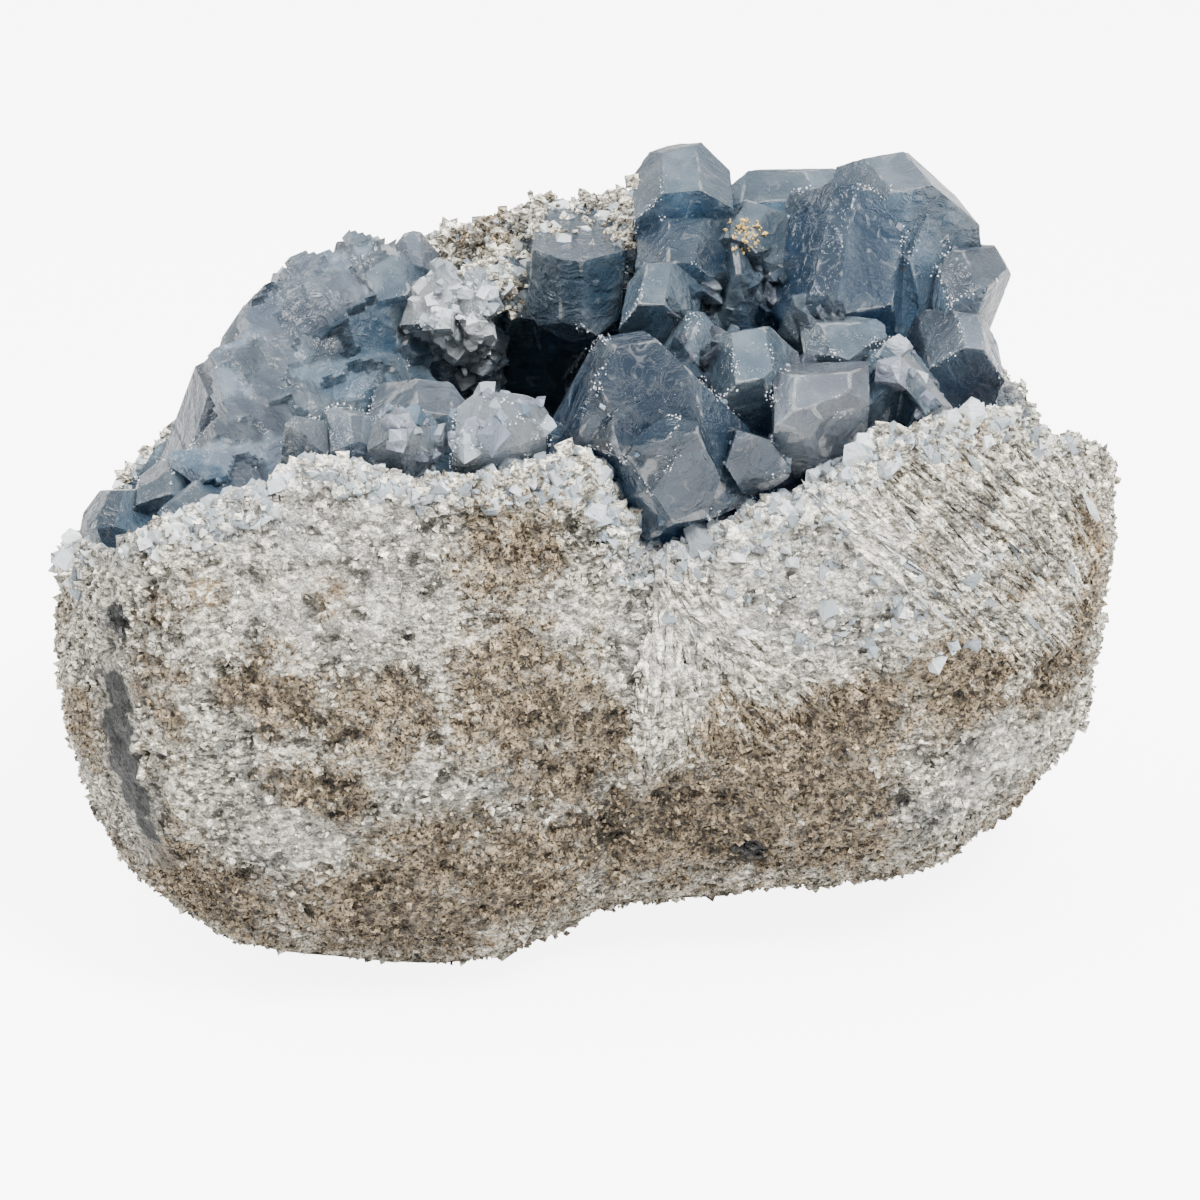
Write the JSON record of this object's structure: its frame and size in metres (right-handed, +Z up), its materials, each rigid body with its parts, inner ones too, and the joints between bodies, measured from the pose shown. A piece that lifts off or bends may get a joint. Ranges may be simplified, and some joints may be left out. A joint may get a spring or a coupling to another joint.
{
  "type": "celestite geode",
  "caption": "Rounded two-lobed nodule of granular pale stone, broken open at the top, its hollow lined with blocky pale blue crystals.",
  "frame": {"origin": "middle of the whole stone's box, on the surface that it rests on", "axes": "+X along the stone's length, +Z up through the open hollow, -Y towards the front wall with the notch in its rim"},
  "size_m": [0.1304, 0.0812, 0.0941],
  "materials": {
    "rind": "granular, matt",
    "crystals": "clear to cloudy pale blue"
  },
  "bodies": {
    "root": {"rind": "rind", "crystal_crust": "crystals"}
  },
  "joints": []
}
